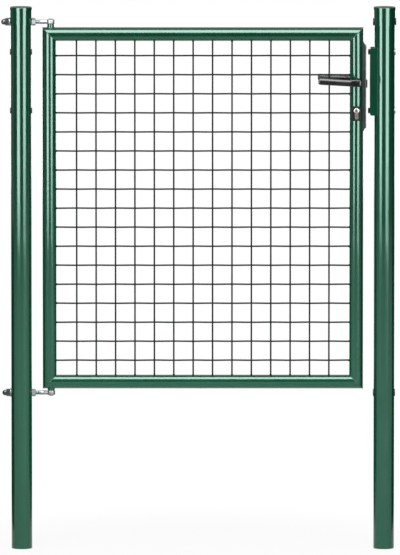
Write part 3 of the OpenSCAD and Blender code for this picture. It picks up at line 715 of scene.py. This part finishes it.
def turned_ring(name, profile, centre, steps=64):
    """A ring turned round the vertical through centre from a closed (radius, height) profile."""
    count = len(profile)
    verts = [(centre[0] + r * math.cos(a), centre[1] + r * math.sin(a), centre[2] + h)
             for a in (math.tau * i / steps for i in range(steps)) for r, h in profile]
    faces = [(i * count + j, (i + 1) % steps * count + j,
              (i + 1) % steps * count + (j + 1) % count, i * count + (j + 1) % count)
             for i in range(steps) for j in range(count)]
    mesh = bpy.data.meshes.new(name)
    mesh.from_pydata(verts, [], faces)
    mesh.shade_smooth()
    mesh.set_sharp_from_angle(angle=math.radians(40))
    return closed_up(mesh)


def turned_bar(name, profile, z, steps=48):
    """A bar turned round the X axis at height z, from (x, radius) pairs along it."""
    verts = [(x, r * math.sin(a), z + r * math.cos(a))
             for x, r in profile for a in (math.tau * i / steps for i in range(steps))]
    faces = [(i * steps + j, i * steps + (j + 1) % steps,
              (i + 1) * steps + (j + 1) % steps, (i + 1) * steps + j)
             for i in range(len(profile) - 1) for j in range(steps)]
    mesh = bpy.data.meshes.new(name)
    mesh.from_pydata(verts, [], faces)
    mesh.shade_smooth()
    mesh.set_sharp_from_angle(angle=math.radians(40))
    return closed_up(mesh)


threads = thread_tree()
thread_pitch, thread_depth, rows_to_a_pitch = 0.00175, 0.00095, 8
rod_r, bore_r = 0.006, 0.0061
eye_round = 0.0022  # how far the forged eye's outer corners are rounded
bore_edge = 0.0006
for end in ("top", "bottom"):
    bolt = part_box("eye_bolt_" + end)
    nut_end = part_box("hinge_nut_" + end)[1][0]
    eye_r = bolt[1][0] - pin_x
    eye_z = (bolt[0][2] + bolt[1][2]) / 2
    eye_half = (bolt[1][2] - bolt[0][2]) / 2
    # Coarse thread from inside the post up to a plain shank that runs into the eye.
    shank = nut_end + 0.014
    thread_length = math.ceil((shank - nut_end + 0.012) / thread_pitch) * thread_pitch
    thread = closed_up(grown("thread", threads, {
        "Length": thread_length, "Pitch": thread_pitch, "Crest radius": rod_r,
        "Root radius": rod_r - thread_depth,
        "Rows": round(thread_length / thread_pitch) * rows_to_a_pitch + 1, "Metal": zinc}))
    thread.transform(Matrix.Translation((shank - thread_length / 2, 0, eye_z)))
    # Along the rod: a bevelled tip, a core inside the thread, the plain shank, and a neck
    # that runs into the eye.
    plain = turned_bar("shank", [
        (bolt[0][0], rod_r - 0.0011), (bolt[0][0] + 0.0008, rod_r - 0.0004),
        (nut_end - 0.006, rod_r - 0.0004), (nut_end - 0.0055, rod_r - 0.001),
        (shank - 0.001, rod_r - 0.001), (shank - 0.0002, rod_r - 0.0001),
        (shank + 0.006, rod_r - 0.0001), (pin_x - eye_r + 0.001, rod_r - 0.0006),
        (pin_x - bore_r - 0.0016, rod_r - 0.0016)], eye_z)
    r = eye_round
    corners = [(bore_r, -eye_half + bore_edge), (bore_r + bore_edge, -eye_half),
               (eye_r - r, -eye_half), (eye_r - 0.3 * r, -eye_half + 0.3 * r),
               (eye_r, -eye_half + r), (eye_r, eye_half - r),
               (eye_r - 0.3 * r, eye_half - 0.3 * r), (eye_r - r, eye_half),
               (bore_r + bore_edge, eye_half), (bore_r, eye_half - bore_edge)]
    eye = turned_ring("eye", corners, (pin_x, 0, eye_z))
    forged = joined("eye bolt " + end, (thread, plain, eye))
    piece("eye_bolt_" + end + "_forged", forged, zinc, "posts", ["eye_bolt_" + end])

# ---- Lock ----
# A folded steel case welded into the stile, closed by a zinc plated face plate held by two
# screws, with the latch and the dead bolt in their windows.
# The case and the face plate are given darker colours than their steel and zinc have: painted shade, as
# they sit in shadow between the stile and the gap.
case_steel_shaded = plated_steel("sheet steel, darkened as painted shade", "#262B2A", "#2F3533", 0.45)
plate_zinc_shaded = plated_steel("brushed zinc plate on strip steel", "#4C514F", "#565B59", 0.38)
piece("lock_case_folded", softened("lock_case", 0.0006), case_steel_shaded,
      "leaf", ["lock_case"])
piece("face_plate_pressed", softened("face_plate", 0.0005), plate_zinc_shaded,
      "leaf", ["face_plate"])
piece("dead_bolt_milled", softened("dead_bolt", 0.0005), zinc, "leaf", ["dead_bolt"])
piece("latch_milled", softened("latch_bolt", 0.0005), zinc, "latch", ["latch_bolt"])


def screw_head(name, radius, height):
    """A low countersunk head with a cross recess, facing +X, its seat at the origin."""
    arm, slot_half, deep = radius * 0.62, radius * 0.16, height + radius * 0.3
    sides, corners = 24, 12
    cross = []
    for quarter in range(4):
        turn = Matrix.Rotation(math.tau * quarter / 4, 2)
        cross += [turn @ Vector(p)
                  for p in ((slot_half, slot_half), (arm, slot_half), (arm, -slot_half))]
    cross = sorted(cross, key=lambda p: math.atan2(p[1], p[0]))
    rim = [(radius * math.cos(a), radius * math.sin(a))
           for a in (math.tau * i / sides for i in range(sides))]
    verts = [(-radius * 0.2, y * 0.8, z * 0.8) for y, z in rim]
    verts += [(height * 0.5, y, z) for y, z in rim]
    verts += [(height, y * 0.86, z * 0.86) for y, z in rim]
    verts += [(height, y, z) for y, z in cross]
    verts += [(height - deep, y * 0.8, z * 0.8) for y, z in cross]
    faces = [tuple(range(sides))]
    for ring in (0, sides):
        faces += [(ring + i, ring + (i + 1) % sides, ring + sides + (i + 1) % sides,
                   ring + sides + i) for i in range(sides)]
    upper, lower = 3 * sides, 3 * sides + corners
    faces += [(upper + i, upper + (i + 1) % corners, lower + (i + 1) % corners, lower + i)
              for i in range(corners)]
    faces.append(tuple(range(lower, lower + corners)))
    mesh = bpy.data.meshes.new(name)
    mesh.from_pydata(verts, [], faces)
    work = bmesh.new()
    work.from_mesh(mesh)
    work.verts.ensure_lookup_table()
    open_edges = [e for e in work.edges if e.is_boundary]
    bmesh.ops.triangle_fill(work, edges=open_edges, use_beauty=True)
    bmesh.ops.recalc_face_normals(work, faces=work.faces)
    work.to_mesh(mesh)
    work.free()
    mesh.shade_smooth()
    mesh.set_sharp_from_angle(angle=math.radians(30))
    return mesh


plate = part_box("face_plate")
plate_z = (plate[0][2] + plate[1][2]) / 2
screw_r, screw_proud, screw_place = 0.0045, 0.0006, 0.106
screws = []
for side in (-1, 1):
    screw = screw_head("plate screw", screw_r, screw_proud)
    screw.transform(Matrix.Translation((plate[1][0], 0, plate_z + side * screw_place)))
    screws.append(screw)
piece("face_plate_screws", joined("plate screws", screws), zinc, "leaf")

# The cylinder is nickel plated brass: a dull body, and a bright turned core round the key slot.
dull_nickel = plated_steel("dull nickel plate on brass", "#6F6D66", "#66645D", 0.36)
nickel = plated_steel("bright nickel plate on brass", "#C9C8C3", "#BFBEB8", 0.22)
lock_axis = axis_right
spindle_z = (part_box("rose_front")[0][2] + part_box("rose_front")[1][2]) / 2
piece("cylinder_body", softened("lock_cylinder", 0.0003), dull_nickel,
      "leaf", ["lock_cylinder"])
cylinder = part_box("lock_cylinder")
core_z = cylinder[1][2] - (cylinder[1][0] - cylinder[0][0]) / 2
cores = []
for side, face in ((-1, cylinder[0][1]), (1, cylinder[1][1])):
    # The core stands 0.3 mm proud, with a bevelled rim and a hole that leaves the key slot clear.
    profile = [(0.0030, -0.0004), (0.0062, -0.0004), (0.0065, 0.0), (0.0061, 0.0003),
               (0.0032, 0.0003), (0.0030, 0.0001)]
    ring = turned_ring("core", profile, (0, 0, 0), 48)
    outwards = Matrix.Rotation(math.pi / 2 * -side, 4, "X")
    ring.transform(Matrix.Translation((lock_axis, face, core_z)) @ outwards)
    cores.append(ring)
piece("cylinder_cores", joined("cylinder cores", cores), nickel, "leaf")

for node in ("escutcheon_front", "escutcheon_back"):
    piece(node + "_moulded", softened(node, 0.0009), black_polyamide, "leaf", [node])
for node in ("rose_front", "rose_back"):
    piece(node + "_moulded", softened(node, 0.0007), black_polyamide, "leaf", [node])

# ---- Handles ----
# A pair of glass filled polyamide levers on one square spindle. Each has a round neck that
# runs in its rose, a flat faced hub in front of it and an oval grip that tapers in the middle
# and bows a little, up and towards the leaf, to its tip.
# From the gate's middle plane out to the grip, from the spindle to the grip's tip, and on
# past the spindle.
grip_out, grip_reach, grip_past = 0.075, 0.106, 0.013
grip_high, grip_thick, grip_waist, end_round = 0.0195, 0.013, 0.13, 0.0065
grip_rise = math.radians(1.5)
bow_up, bow_in = 0.003, 0.005
hub_half, hub_blend = 0.020, 0.010
neck_r, neck_start = 0.0075, 0.012
rose_face = -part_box("rose_front")[0][1]


def lofted(rings):
    """A closed skin over a row of rings of points."""
    count = len(rings[0])
    faces = [tuple(range(count))]
    for i in range(len(rings) - 1):
        faces += [(i * count + j, i * count + (j + 1) % count,
                   (i + 1) * count + (j + 1) % count, (i + 1) * count + j)
                  for j in range(count)]
    faces.append(tuple(range((len(rings) - 1) * count, len(rings) * count)))
    mesh = bpy.data.meshes.new("loft")
    mesh.from_pydata([p for ring in rings for p in ring], [], faces)
    return closed_up(mesh)


def oval(half_wide, half_high, squareness, count=48):
    """Points of the grip's section: sloping shoulders above for the palm, and fuller below.
    Squareness 1 gives the blocky section of the hub."""
    points = []
    for i in range(count):
        c, s = math.cos(math.tau * i / count), math.sin(math.tau * i / count)
        power = 1.7 if s > 0 else 2.6
        power += (5.0 - power) * squareness
        points.append((half_wide * math.copysign(abs(c) ** (2 / power), c),
                       half_high * math.copysign(abs(s) ** (2 / power), s)))
    return points


def lever():
    """The front lever with its spindle's axis at the origin, moulded in one piece."""
    length = grip_reach + grip_past
    stations = [length * i / 60 for i in range(61)]
    stations += [end_round * i / 12 for i in range(1, 12)]
    stations += [length - end_round * i / 12 for i in range(1, 12)]
    rings = []
    for along in sorted(set(stations)):
        near_end = min(along, length - along, end_round)
        blunt = 0.5 + 0.5 * math.sqrt(1 - (1 - near_end / end_round) ** 2)
        waist = 1 - grip_waist * math.sin(math.pi * min(1.0, max(0.0, along / length))) ** 1.5
        into_hub = min(1.0, max(0.0, (along - grip_reach + hub_half) / hub_blend))
        points = oval(grip_thick / 2 * blunt * waist, grip_high / 2 * blunt * (waist * 0.5 + 0.5),
                      into_hub * into_hub * (3 - 2 * into_hub))
        bow = max(0.0, 1 - along / grip_reach) ** 1.5
        rings.append([(along - grip_reach, -grip_out + bow_in * bow + y, z + bow_up * bow)
                      for y, z in points])
    grip = lofted(rings)
    shoulder = rose_face + 0.0008
    # The neck has a collar in front of the rose, and spreads a little where it meets the hub.
    collar = neck_r + 0.0018
    neck = [(neck_start, neck_r), (shoulder, neck_r), (shoulder, collar),
            (shoulder + 0.004, collar), (shoulder + 0.008, neck_r + 0.0002),
            (grip_out - 0.012, neck_r), (grip_out - 0.005, neck_r + 0.0006),
            (grip_out + 0.001, neck_r + 0.0004)]
    stem = lofted([[(r * math.cos(t), -out, r * math.sin(t))
                    for t in (math.tau * i / 40 for i in range(40))] for out, r in neck])
    rough = bpy.data.objects.new("lever seed", joined("lever", (grip, stem)))
    scene.collection.objects.link(rough)
    skin = rough.modifiers.new("skin", "REMESH")
    skin.mode = "VOXEL"
    skin.voxel_size = 0.0008
    eased = rough.modifiers.new("eased", "SMOOTH")
    eased.iterations = 8
    bpy.context.view_layer.update()
    evaluated = rough.evaluated_get(bpy.context.evaluated_depsgraph_get())
    mesh = bpy.data.meshes.new_from_object(evaluated)
    bpy.data.objects.remove(rough)
    mesh.shade_smooth()
    return mesh


lever_plastic = moulded_plastic("glass filled black polyamide, satin", "#08090A", 0.28, 0.8, 0.40)
place_lever = Matrix.Translation((lock_axis, 0, spindle_z)) @ Matrix.Rotation(grip_rise, 4, "Y")
front = lever()
back = front.copy()
back.transform(Matrix.Scale(-1, 4, (0, 1, 0)))
back.flip_normals()
front.transform(place_lever)
back.transform(place_lever)
piece("lever_front_moulded", front, lever_plastic, "handle", ["lever_front"])
piece("lever_back_moulded", back, lever_plastic, "handle", ["lever_back"])
paint("spindle", zinc)

# ---- Strike ----
# A channel folded from sheet, coated with the posts, with rounded edges. Two bolts hold it
# through the latch post, with blackened nuts on the leaf's side.
piece("strike_folded", softened("strike_channel", 0.0008), green_coat,
      "posts", ["strike_channel"])
blackened = plated_steel("blackened steel", "#1B1C1D", "#151516", 0.38)
for node in cad:
    if node.startswith("strike_bolt"):
        paint(node, zinc)
    if node.startswith("strike_nut"):
        piece(node + "_soft", softened(node, 0.0004), blackened, "posts", [node])
